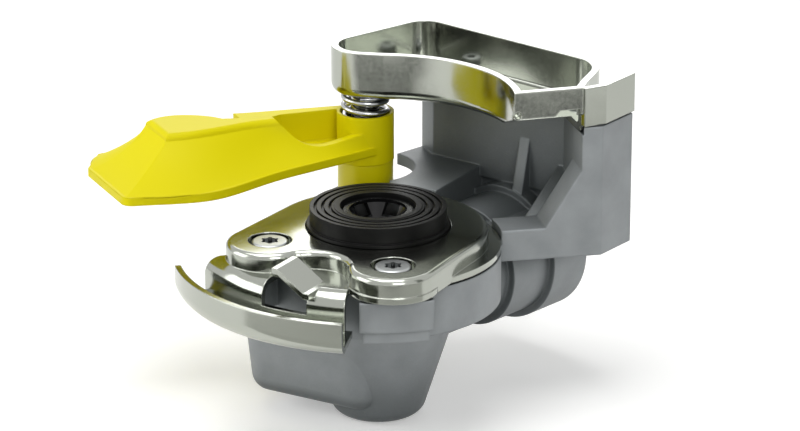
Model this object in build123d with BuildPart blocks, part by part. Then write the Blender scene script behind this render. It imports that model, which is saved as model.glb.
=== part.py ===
from build123d import *
import os
from math import acos, atan2, copysign, cos, degrees, hypot, radians, sin

# Palm coupling head with automatic shut-off.
# Millimetres. The origin is the centre of the seal ring's face, +Z is the seal axis,
# -Y points to the middle of the guide rail and +Y to the claw.

# Seal ring
seal_radius = 17.5
seal_mouth_radius = 9.7
seal_stand = 5.3
seal_collar_radius = 18.3
seal_collar_height = 0.9
seal_foot_radius = 20.4
seal_foot_height = 1.6
seal_lip_height = 0.15
seal_lip_width = 1.6
seal_groove_width = 0.7
seal_groove_depth = 0.7
seal_groove_pitch = 1.9
seal_groove_count = 3
seal_groove_inset = 1.1
press_travel = 4.0

# Deep drawn cover plate
cover_sheet = 1.6
crown_radius = 28.2
crown_rise = 4.7
crown_edge = 1.4
flange_radius = 31.4
screw_circle = 29.5
screw_half_angle = 37.5
ear_radius = 11.2
ear_lap = 0.3
neck_round = 2.5
scallop_radius = 9.0
scallop_reach = 33.0
lip_left = (-32.5, -31.3)
lip_middle = (-10.4, -39.6)
lip_right = (12.1, -37.2)
rail_radius = 52.5
rail_top = -12.5
rail_bottom = -21.5
rail_start = -138.5
rail_end = -69.5
lip_bend = 2.8
rail_bend = 3.0
window_left = -10.5
window_right = 2.5
window_inner = -31.0
window_bottom = -16.2
tab_rise = 5.0
tab_reach = 7.5
tab_length = 10.0
cover_play = 0.3

# Cover screws
screw_shank_radius = 2.4
screw_head_radius = 4.7
screw_head_height = 2.2
screw_head_round = 0.7
screw_recess_radius = 5.6
screw_recess_depth = 2.3
screw_length = 15.0
socket_radius = 1.9
socket_lobe_radius = 0.5
socket_lobe_count = 6
socket_depth = 1.4
gasket_thickness = 0.5

# Aluminium body
head_radius = 31.5
head_bottom = -24.5
block_radius = 38.5
block_bottom = -20.0
block_half_angle = 14.2
ear_band_bottom = -23.2
ear_band_step = 1.2
cone_top_radius = 22.8
cone_taper = 17.6
cone_bottom = -56.0
lobe_left = -33.5
lobe_right = 9.0
lobe_half_width = 18.5
lobe_middle = -1.0
lobe_corner = 8.5
lobe_taper = 6.0
lobe_bottom = -51.5
lobe_round = 5.0
foot_round = 4.0
left_block_radius = 36.0
boss_pad_radius = 7.0
wall_inner_left = (-14.7, 54.3)
wall_inner_right = (27.4, 49.2)
wall_end_left = (-20.5, 58.6)
wall_thickness = 7.0
wall_outer_left_step = 3.5
pillar_back = (36.5, 56.6)
platform_bottom = -16.5
ledge_top = -5.0
ledge_thickness = 3.0
ledge_tip = (-23.3, 49.4)
ledge_right = 0.6
ledge_gap = 0.8
ledge_cut_radius = 13.2
web_thickness = 3.6
cheek_angle = 41.2
cheek_start = (25.7, 18.1)
cheek_length = 26.6
cheek_thickness = 10.0
cheek_post_width = 5.4
cheek_foot_length = 11.9
cheek_foot_top = -8.2
cheek_slope_top = 6.7
flank_angle = 83.0
flank_length = 13.4
rib_thickness = 3.2
rib_top = 5.8
rib_run = 3.8
rib_spot = (15.1, 50.7)
brace_top = 0.4
brace_foot = (24.9, 31.4)

# Side port
port_angle = 78.0
port_axis_z = -26.0
port_neck_radius = 14.8
port_neck_end = 31.3
port_groove_radius = 14.2
port_collar_start = 34.9
port_collar_radius = 16.3
port_shoulder_start = 48.9
port_shoulder_radius = 18.2
port_face = 63.5
port_edge = 1.5
port_thread_minor_radius = 10.19
port_thread_length = 15.0
port_passage_radius = 6.0

# Claw tray
tray_floor_z = 16.3
tray_top = 29.0
tray_sheet = 2.0
tray_nose_radius = 9.0
tray_front_radius = 34.6
tray_front_start = 34.0
tray_front_end = 118.0
tray_bend = 2.7
tray_right_front = (41.6, 32.2)
tray_right = (39.9, 38.9)
tray_back_right = (37.0, 54.5)
tray_back_left = (-24.0, 66.7)
tray_right_corner = 13.0
tray_left_corner = 8.0
tray_floor_angle = 59.0
flange_lower_edge = 22.0
flange_notch = (11.0, 18.6)
flange_notch_slope = 1.2
flange_notch_top = 23.4
relief_hole_radius = 1.0
wing_bend = (44.9, 37.4)
wing_end = (46.4, 50.0)
wing_gap = 0.4
cheek_top = 18.4
tray_screw_spots = [(-12.3, 57.0), (31.8, 48.2)]
tray_screw_head_radius = 2.5
tray_screw_head_height = 1.4
tray_screw_head_round = 0.4
tray_screw_socket = 1.4
tray_screw_socket_sides = 6
tray_screw_shank_radius = 1.5
tray_screw_length = 14.0

# Pivot, lid spring and lid boss
pivot_reach = 44.7
pivot_angle = 124.6
post_radius = 7.4
post_foot = -13.0
post_top = -2.6
pin_radius = 3.8
pin_head_radius = 5.8
pin_head_height = 3.0
pin_head_round = 1.0
pin_chamfer = 0.8
pin_tail = 5.0
circlip_radius = 6.2
circlip_thickness = 1.2
arm_radius = 10.0
arm_thickness = 7.5
arm_half_angle = 12.0
arm_root_reach = 26.0
arm_root_angle = 27.0
pin_groove_radius = 3.0
running_gap = 0.05
boss_radius = 7.6
boss_top = 10.6
bush_wall = 1.2
counterbore_radius = 6.7
counterbore_depth = 5.0
washer_thickness = 0.8
spring_wire_radius = 0.75
spring_turns = 3.0
spring_side_gap = 0.2

# Lid
lid_heading = -125.0
lid_rim_bottom = 0.4
lid_rim_top = 2.6
lid_crown = 12.8
lid_wall = 2.2
lid_length = 75.0
lid_front_waist = (26.4, 13.7)
lid_front_widest = (53.6, 22.1)
lid_front_corner = 17.0
lid_back_corner = -9.0
lid_back_shoulder = (68.5, -18.6)
lid_back_widest = (54.0, -20.4)
lid_back_waist = (26.0, -12.6)
lid_end_round = 3.0
crest_start = 32.0
crest_end = 57.8
crest_front = 3.0
crest_back = -11.5
crest_back_widest = (50.0, -12.8)
crest_back_start = (39.4, -4.9)
crest_middle = 46.0
crest_bow = 0.9
crest_round = 1.6
dome_sag = 1.6
dome_start = 29.0
dome_neck = 14.0
arm_knee_foot = 3.7
arm_knee_crest = -1.0
arm_bend_foot = 12.4
arm_bend_front = 4.6
arm_bend_crest = 1.0
arm_root_crest = 3.0
arm_front_crest = 6.0
# Top line of the arm's front wall, as reach and height
arm_sag = [
    (0.0, 6.2),
    (12.2, 5.4),
    (18.3, 5.6),
    (21.2, 6.7),
    (23.7, 8.9),
    (26.4, 12.0),
    (28.6, 14.4),
]
rim_step = 0.8
web_floor = 1.4
web_wall = 2.4
web_back_top = 10.0
web_back_side = 1.9
pocket_end = 28.5
pocket_bend = 21.0
pocket_neck = 10.3
pocket_end_front = 4.0
pocket_end_back = -5.6

# Shut-off valve
chamber_radius = 17.0
chamber_bottom = -17.2
foot_pocket_gap = 0.5
bore_radius = 11.0
bore_bottom = -46.0
carrier_wall = 2.0
carrier_height = 4.0
carrier_gap = 0.3
ring_section = 1.2
plunger_rim_radius = 8.8
plunger_band = 0.8
plunger_funnel = 5.0
plunger_window_count = 5
plunger_window_width = 4.4
plunger_window_height = 3.2
plunger_window_start = 88.0
sleeve_radius = 9.0
sleeve_top = -2.0
plunger_throat_radius = 5.6
plunger_wall = 1.4
plunger_depth = 9.0
plunger_recess = 1.0
spoke_count = 4
spoke_width = 2.2
spoke_height = 3.0
hub_radius = 3.2
stem_radius = 2.2
seat_radius = 14.5
seat_height = 2.5
seat_mouth_radius = 6.8
disc_radius = 8.6
disc_height = 2.6
disc_gap = 0.1
cup_radius = 8.2
cup_height = 2.4
cup_wall = 1.2
valve_wire_radius = 0.7
valve_spring_radius = 6.0
valve_spring_turns = 5.0

# Tolerance for picking edges
tiny = 0.01
half_turn = 180

# Worked out places
cover_top = -seal_stand
flange_top = cover_top - crown_rise
flange_bottom = flange_top - cover_sheet
body_top = flange_bottom - gasket_thickness
platform_top = body_top
foot_top = cover_top - cover_sheet - cover_play
foot_bottom = foot_top - seal_foot_height
recess_floor = cover_top - screw_recess_depth
pad_top = recess_floor - cover_sheet
boss_bottom = post_top + running_gap


def polar(reach, angle):
    """Point in plan at a reach and an angle about the seal axis."""
    return (reach * cos(radians(angle)), reach * sin(radians(angle)))


def wedge(reach, start, end):
    """Corner points of a plan wedge that covers a sector of the given reach."""
    middle = (start + end) / 2
    far = 2 * reach
    return [(0, 0), polar(far, start), polar(far, middle), polar(far, end), (0, 0)]


pivot = polar(pivot_reach, pivot_angle)
screw_spots = [
    polar(screw_circle, -90 - screw_half_angle),
    polar(screw_circle, -90 + screw_half_angle),
]
os.makedirs("parts", exist_ok=True)

# Seal ring
with BuildPart() as seal_ring:
    with BuildSketch(Plane.XZ):
        with BuildLine():
            Polyline(
                (seal_mouth_radius, foot_bottom),
                (seal_foot_radius, foot_bottom),
                (seal_foot_radius, foot_top),
                (seal_radius, foot_top),
                (seal_radius, cover_top),
                (seal_collar_radius, cover_top),
                (seal_collar_radius, cover_top + seal_collar_height),
                (seal_radius, cover_top + seal_collar_height),
                (seal_radius, -seal_lip_height),
                (seal_mouth_radius + seal_lip_width, -seal_lip_height),
                (seal_mouth_radius + seal_lip_width, 0),
                (seal_mouth_radius, 0),
                close=True,
            )
        make_face()
    revolve(axis=Axis.Z)
    with BuildSketch(Plane.XY.offset(-seal_lip_height)):
        for index in range(seal_groove_count):
            groove = seal_radius - seal_groove_inset - seal_groove_pitch * index
            Circle(groove)
            Circle(groove - seal_groove_width, mode=Mode.SUBTRACT)
    extrude(amount=-seal_groove_depth, mode=Mode.SUBTRACT)
seal_ring.part.label = "seal_ring"
export_step(seal_ring.part, "parts/seal_ring.step")

# Seal carrier
carrier_radius = chamber_radius - carrier_gap
carrier_bottom = foot_bottom - carrier_height
groove_z = foot_bottom - carrier_height / 2
with BuildPart() as seal_carrier:
    with BuildSketch(Plane.XZ):
        with BuildLine():
            Polyline(
                (sleeve_radius, sleeve_top),
                (seal_mouth_radius - running_gap, sleeve_top),
                (seal_mouth_radius - running_gap, foot_bottom),
                (carrier_radius, foot_bottom),
                (carrier_radius, groove_z + ring_section / 2),
                (carrier_radius - ring_section, groove_z + ring_section / 2),
                (carrier_radius - ring_section, groove_z - ring_section / 2),
                (carrier_radius, groove_z - ring_section / 2),
                (carrier_radius, carrier_bottom),
                (carrier_radius - 2 * carrier_wall, carrier_bottom),
                (carrier_radius - 2 * carrier_wall, foot_bottom - carrier_wall),
                (sleeve_radius, foot_bottom - carrier_wall),
                close=True,
            )
        make_face()
    revolve(axis=Axis.Z)
seal_carrier.part.label = "seal_carrier"
export_step(seal_carrier.part, "parts/seal_carrier.step")

# Carrier o-ring
with BuildPart() as carrier_o_ring:
    with BuildSketch(Plane.XZ):
        with Locations((carrier_radius - ring_section / 2, groove_z)):
            Circle(ring_section / 2 - running_gap)
    revolve(axis=Axis.Z)
carrier_o_ring.part.label = "carrier_o_ring"
export_step(carrier_o_ring.part, "parts/carrier_o_ring.step")

# Spoked funnel of the valve plunger
rim_z = -plunger_recess
throat_z = rim_z - plunger_depth
band_z = rim_z - plunger_band
with BuildPart() as valve_plunger:
    with BuildSketch(Plane.XZ):
        with BuildLine():
            Polyline(
                (plunger_rim_radius - plunger_wall, rim_z),
                (plunger_rim_radius, rim_z),
                (plunger_rim_radius, band_z),
                (plunger_throat_radius, band_z - plunger_funnel),
                (plunger_throat_radius, throat_z - spoke_height),
                (plunger_throat_radius - plunger_wall, throat_z - spoke_height),
                (plunger_throat_radius - plunger_wall, band_z - plunger_funnel),
                (plunger_rim_radius - plunger_wall, band_z),
                close=True,
            )
        make_face()
    revolve(axis=Axis.Z)
    with BuildSketch(Plane.XY.offset(throat_z - spoke_height)):
        Circle(hub_radius)
        with PolarLocations(plunger_throat_radius / 2, spoke_count):
            Rectangle(plunger_throat_radius - plunger_wall / 2, spoke_width)
    extrude(amount=spoke_height)
    with BuildSketch(Plane.XY.offset(band_z)):
        with PolarLocations(plunger_rim_radius, plunger_window_count, plunger_window_start):
            Rectangle(plunger_rim_radius, plunger_window_width)
    extrude(amount=-plunger_window_height, mode=Mode.SUBTRACT)
valve_plunger.part.label = "valve_plunger"
export_step(valve_plunger.part, "parts/valve_plunger.step")

# Valve seat with its o-ring groove
seat_top = chamber_bottom
seat_bottom = chamber_bottom - seat_height
seat_groove_z = (seat_top + seat_bottom) / 2
with BuildPart() as valve_seat:
    with BuildSketch(Plane.XZ):
        with BuildLine():
            Polyline(
                (seat_mouth_radius, seat_bottom),
                (seat_radius - running_gap, seat_bottom),
                (seat_radius - running_gap, seat_groove_z - ring_section / 2),
                (seat_radius - ring_section, seat_groove_z - ring_section / 2),
                (seat_radius - ring_section, seat_groove_z + ring_section / 2),
                (seat_radius - running_gap, seat_groove_z + ring_section / 2),
                (seat_radius - running_gap, seat_top),
                (seat_mouth_radius + seat_height / 2, seat_top),
                (seat_mouth_radius, seat_groove_z),
                close=True,
            )
        make_face()
    revolve(axis=Axis.Z)
valve_seat.part.label = "valve_seat"
export_step(valve_seat.part, "parts/valve_seat.step")

# Seat o-ring
with BuildPart() as seat_o_ring:
    with BuildSketch(Plane.XZ):
        with Locations((seat_radius - ring_section / 2, seat_groove_z)):
            Circle(ring_section / 2 - running_gap)
    revolve(axis=Axis.Z)
seat_o_ring.part.label = "seat_o_ring"
export_step(seat_o_ring.part, "parts/seat_o_ring.step")

# Rubber valve disc
disc_top = seat_bottom - disc_gap
disc_bottom = disc_top - disc_height
with BuildPart() as valve_disc:
    with BuildSketch(Plane.XY.offset(disc_bottom)):
        Circle(disc_radius)
        Circle(stem_radius + running_gap, mode=Mode.SUBTRACT)
    extrude(amount=disc_height)
valve_disc.part.label = "valve_disc"
export_step(valve_disc.part, "parts/valve_disc.step")

# Valve stem between the funnel and the spring cup
with BuildPart() as valve_stem:
    with BuildSketch(Plane.XY.offset(disc_bottom)):
        Circle(stem_radius)
    extrude(amount=throat_z - spoke_height - disc_bottom)
valve_stem.part.label = "valve_stem"
export_step(valve_stem.part, "parts/valve_stem.step")

# Spring cup under the disc
cup_bottom = disc_bottom - cup_height
with BuildPart() as spring_cup:
    with BuildSketch(Plane.XY.offset(cup_bottom)):
        Circle(cup_radius)
    extrude(amount=cup_height)
    with BuildSketch(Plane.XY.offset(cup_bottom)):
        Circle(cup_radius - cup_wall)
    extrude(amount=cup_height - cup_wall, mode=Mode.SUBTRACT)
    fillet(spring_cup.edges().filter_by(GeomType.CIRCLE).group_by(Axis.Z)[-1], cup_wall / 2)
spring_cup.part.label = "spring_cup"
export_step(spring_cup.part, "parts/spring_cup.step")


def coil(radius, wire_radius, low, high, turns, spot=(0, 0)):
    """Path of a spring whose wire lies between two heights."""
    height = high - low - 2 * wire_radius
    start = Vector(spot[0], spot[1], low + wire_radius)
    return Helix(pitch=height / turns, height=height, radius=radius, center=start)


# Valve spring
with BuildPart() as valve_spring:
    with BuildLine() as valve_path:
        coil(
            valve_spring_radius,
            valve_wire_radius,
            bore_bottom,
            cup_bottom + cup_height - cup_wall,
            valve_spring_turns,
        )
    with BuildSketch(Plane(origin=valve_path.line @ 0, z_dir=valve_path.line % 0)):
        Circle(valve_wire_radius)
    sweep(is_frenet=True)
valve_spring.part.label = "valve_spring"
export_step(valve_spring.part, "parts/valve_spring.step")

# Arc of the rolled lip
lip_arc = ThreePointArc(lip_left, lip_middle, lip_right)
lip_centre = (lip_arc.arc_center.X, lip_arc.arc_center.Y)
lip_radius = lip_arc.radius
lip_start = degrees(atan2(lip_left[1], lip_left[0]))
lip_end = degrees(atan2(lip_right[1], lip_right[0]))

# Outline of the raised crown with its two screw ears
with BuildSketch() as crown_outline:
    Circle(crown_radius)
    with Locations(*screw_spots):
        Circle(ear_radius)
    for spot, side in zip(screw_spots, (-1, 1)):
        with BuildLine():
            Polyline(
                (0, 0),
                (side * crown_radius, 0),
                (spot[0] + side * ear_radius, spot[1]),
                spot,
                close=True,
            )
        make_face()
    with Locations((0, -scallop_reach)):
        Circle(scallop_radius, mode=Mode.SUBTRACT)
    offset(amount=neck_round)
    offset(amount=-2 * neck_round)
    offset(amount=neck_round)

# Deep drawn cover plate with its guide rail
with BuildPart() as cover_plate:
    with BuildSketch(Plane.XY.offset(flange_bottom)):
        add(crown_outline.sketch)
    extrude(amount=cover_top - flange_bottom)
    fillet(cover_plate.edges().group_by(Axis.Z)[-1], crown_edge)
    with BuildSketch(Plane.XY.offset(flange_bottom)):
        with Locations(lip_centre):
            Circle(lip_radius)
        with BuildLine():
            Polyline(wedge(lip_radius, lip_start, lip_end))
        make_face(mode=Mode.INTERSECT)
        Circle(flange_radius)
        with Locations(*screw_spots):
            Circle(ear_radius + ear_lap)
    extrude(amount=cover_sheet)
    with BuildSketch(Plane.XY.offset(rail_bottom)):
        with Locations(lip_centre):
            Circle(lip_radius)
            Circle(lip_radius - cover_sheet, mode=Mode.SUBTRACT)
        with BuildLine():
            Polyline(wedge(lip_radius, lip_start, lip_end))
        make_face(mode=Mode.INTERSECT)
    extrude(amount=flange_bottom - rail_bottom)
    with BuildSketch(Plane.XY.offset(rail_bottom)):
        Circle(rail_radius)
        with Locations(lip_centre):
            Circle(lip_radius - cover_sheet, mode=Mode.SUBTRACT)
        with BuildLine():
            Polyline(wedge(rail_radius, rail_start, rail_end))
        make_face(mode=Mode.INTERSECT)
    extrude(amount=cover_sheet)
    with BuildSketch(Plane.XY.offset(rail_bottom)):
        Circle(rail_radius)
        Circle(rail_radius - cover_sheet, mode=Mode.SUBTRACT)
        with BuildLine():
            Polyline(wedge(rail_radius, rail_start, rail_end))
        make_face(mode=Mode.INTERSECT)
    extrude(amount=rail_top - rail_bottom)
    with BuildSketch(Plane.XY.offset(pad_top)):
        with Locations(*screw_spots):
            Circle(boss_pad_radius)
    extrude(amount=recess_floor - pad_top)
    lip_edges = cover_plate.edges().filter_by(GeomType.CIRCLE)
    inner_lip = lip_edges.filter_by(
        lambda edge: abs(edge.radius - lip_radius + cover_sheet) < tiny
        and abs(edge.center().Z - flange_bottom) < tiny
    )
    fillet(inner_lip, lip_bend)
    lip_edges = cover_plate.edges().filter_by(GeomType.CIRCLE)
    outer_lip = lip_edges.filter_by(
        lambda edge: abs(edge.radius - lip_radius) < tiny
        and abs(edge.center().Z - flange_top) < tiny
    )
    fillet(outer_lip, lip_bend + cover_sheet)
    for radius, level, bend in (
        (rail_radius, rail_bottom, rail_bend + cover_sheet),
        (rail_radius - cover_sheet, rail_bottom + cover_sheet, rail_bend),
    ):
        rail_edges = cover_plate.edges().filter_by(GeomType.CIRCLE)
        foot_edge = rail_edges.filter_by(
            lambda edge: abs(edge.radius - radius) < tiny and abs(edge.center().Z - level) < tiny
        )
        fillet(foot_edge, bend)
    with BuildSketch(Plane.XY.offset(flange_bottom)):
        offset(crown_outline.sketch, amount=-cover_sheet)
        with Locations(*screw_spots):
            Circle(boss_pad_radius, mode=Mode.SUBTRACT)
    extrude(amount=cover_top - cover_sheet - flange_bottom, mode=Mode.SUBTRACT)
    with BuildSketch(Plane.XY.offset(flange_bottom)):
        with Locations(*screw_spots):
            Circle(boss_pad_radius)
    extrude(amount=pad_top - flange_bottom, mode=Mode.SUBTRACT)
    with BuildSketch(Plane.XY.offset(flange_bottom)):
        Circle(seal_collar_radius + cover_play)
    extrude(amount=cover_top - flange_bottom, mode=Mode.SUBTRACT)
    with BuildSketch(Plane.XY.offset(cover_top)):
        with Locations(*screw_spots):
            Circle(screw_recess_radius)
    extrude(amount=-screw_recess_depth, mode=Mode.SUBTRACT)
    with BuildSketch(Plane.XY.offset(cover_top)):
        with Locations(*screw_spots):
            Circle(screw_shank_radius + cover_play)
    extrude(amount=flange_bottom - cover_top, mode=Mode.SUBTRACT)
    with BuildSketch(Plane.XY.offset(window_bottom)):
        with Locations(((window_left + window_right) / 2, window_inner)):
            Rectangle(
                window_right - window_left, lip_radius, align=(Align.CENTER, Align.MAX)
            )
        Circle(rail_radius - 2 * cover_sheet, mode=Mode.INTERSECT)
    extrude(amount=flange_top - window_bottom, mode=Mode.SUBTRACT)
    with BuildSketch(Plane.XZ.offset(-window_inner)):
        with BuildLine():
            Polyline(
                (window_right + cover_sheet, flange_bottom),
                (window_right + cover_sheet, flange_top),
                (window_right, flange_top),
                (window_right - tab_reach, flange_top + tab_rise),
                (window_right - tab_reach - cover_sheet, flange_top + tab_rise),
                (window_right - tab_reach - cover_sheet, flange_bottom + tab_rise),
                (window_right - tab_reach, flange_bottom + tab_rise),
                (window_right, flange_bottom),
                close=True,
            )
        make_face()
    extrude(amount=tab_length)
cover_plate.part.label = "cover_plate"
export_step(cover_plate.part, "parts/cover_plate.step")

# Gasket between the body and the cover plate
with BuildPart() as cover_gasket:
    with BuildSketch(Plane.XY.offset(body_top)):
        Circle(head_radius - cover_play)
        Circle(seal_foot_radius + foot_pocket_gap, mode=Mode.SUBTRACT)
        with Locations(*screw_spots):
            Circle(boss_pad_radius + cover_play, mode=Mode.SUBTRACT)
    extrude(amount=gasket_thickness)
cover_gasket.part.label = "cover_gasket"
export_step(cover_gasket.part, "parts/cover_gasket.step")

# Pair of cover screws with a six lobed socket
with BuildPart() as cover_screws:
    with BuildSketch(Plane.XY.offset(recess_floor)):
        with Locations(*screw_spots):
            Circle(screw_head_radius)
    extrude(amount=screw_head_height)
    fillet(cover_screws.edges().group_by(Axis.Z)[-1], screw_head_round)
    with BuildSketch(Plane.XY.offset(recess_floor - screw_length)):
        with Locations(*screw_spots):
            Circle(screw_shank_radius)
    extrude(amount=screw_length)
    with BuildSketch(Plane.XY.offset(recess_floor + screw_head_height)):
        with Locations(*screw_spots):
            Circle(socket_radius)
            with PolarLocations(socket_radius, socket_lobe_count):
                Circle(socket_lobe_radius)
    extrude(amount=-socket_depth, mode=Mode.SUBTRACT)
cover_screws.part.label = "cover_screws"
export_step(cover_screws.part, "parts/cover_screws.step")

# Plane of the cheek's front face, with its own X along the face
cheek_plane = Plane(
    origin=(*cheek_start, 0),
    x_dir=(cos(radians(cheek_angle)), sin(radians(cheek_angle)), 0),
    z_dir=(sin(radians(cheek_angle)), -cos(radians(cheek_angle)), 0),
)
cheek_post = cheek_plane.from_local_coords((cheek_length - cheek_post_width, 0))
cheek_end = cheek_plane.from_local_coords((cheek_length, 0))
flank_end = (
    cheek_end.X + flank_length * cos(radians(flank_angle)),
    cheek_end.Y + flank_length * sin(radians(flank_angle)),
)

# Direction along the straight claw wall and its outward normal
wall_run = (Vector(*wall_inner_right) - Vector(*wall_inner_left)).normalized()
wall_out = Vector(-wall_run.Y, wall_run.X)
wall_outer_right = Vector(*wall_inner_right) + wall_out * wall_thickness
wall_outer_left = Vector(*wall_end_left) + wall_out * wall_outer_left_step

# Plane through the port axis, with its own X along the axis and Y upright
port_direction = Vector(cos(radians(port_angle)), sin(radians(port_angle)), 0)
port_side = Plane(
    origin=(0, 0, port_axis_z),
    x_dir=port_direction,
    z_dir=(sin(radians(port_angle)), -cos(radians(port_angle)), 0),
)
port_end = Plane(
    origin=Vector(0, 0, port_axis_z) + port_direction * port_face,
    z_dir=port_direction,
)

# Plane of the rib on the claw wall, square to the wall, and the plane of the corner brace
rib_plane = Plane(
    origin=(*rib_spot, 0),
    x_dir=wall_out,
    z_dir=wall_run,
)
brace_run = (Vector(*brace_foot) - Vector(*wall_inner_right)).normalized()
brace_length = (Vector(*brace_foot) - Vector(*wall_inner_right)).length
brace_plane = Plane(
    origin=(*wall_inner_right, 0),
    x_dir=brace_run,
    z_dir=(brace_run.Y, -brace_run.X, 0),
)
port_crown = port_axis_z + port_collar_radius

# Tray outline, with the nose about the pivot and the arc about the seal axis
front_left = polar(tray_front_radius, tray_front_end)
front_right = polar(tray_front_radius, tray_front_start)
nose_reach = hypot(front_left[0] - pivot[0], front_left[1] - pivot[1])
nose_facing = degrees(atan2(front_left[1] - pivot[1], front_left[0] - pivot[0]))
nose_end = nose_facing - degrees(acos(tray_nose_radius / nose_reach))
back_reach = hypot(tray_back_left[0] - pivot[0], tray_back_left[1] - pivot[1])
back_facing = degrees(atan2(tray_back_left[1] - pivot[1], tray_back_left[0] - pivot[0]))
nose_start = back_facing + degrees(acos(tray_nose_radius / back_reach))
nose_far = (nose_start + nose_end) / 2 + half_turn


def nose_point(angle):
    """Point of the tray's nose at an angle about the pivot."""
    return (
        pivot[0] + tray_nose_radius * cos(radians(angle)),
        pivot[1] + tray_nose_radius * sin(radians(angle)),
    )


def corner_at(outline, spot):
    """Corner of an outline next to a spot in plan."""
    return outline.vertices().sort_by_distance((*spot, 0))[0]


with BuildSketch() as tray_outline:
    with BuildLine():
        Line(nose_point(nose_end), front_left)
        ThreePointArc(
            front_left,
            polar(tray_front_radius, (tray_front_start + tray_front_end) / 2),
            front_right,
        )
        Polyline(
            front_right,
            tray_right_front,
            tray_right,
            tray_back_right,
            tray_back_left,
            nose_point(nose_start),
        )
        ThreePointArc(nose_point(nose_start), nose_point(nose_far), nose_point(nose_end))
    make_face()
    fillet(corner_at(tray_outline, tray_back_right), tray_right_corner)
    fillet(corner_at(tray_outline, tray_back_left), tray_left_corner)

# Lobe of the body under the left screw
with BuildPart() as body_lobe:
    with BuildSketch(Plane.XY.offset(block_bottom)):
        with Locations(((lobe_left + lobe_right) / 2, lobe_middle)):
            RectangleRounded(lobe_right - lobe_left, 2 * lobe_half_width, lobe_corner)
    extrude(amount=lobe_bottom - block_bottom, taper=lobe_taper)
    fillet(body_lobe.edges().group_by(Axis.Z)[0], lobe_round)

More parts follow.
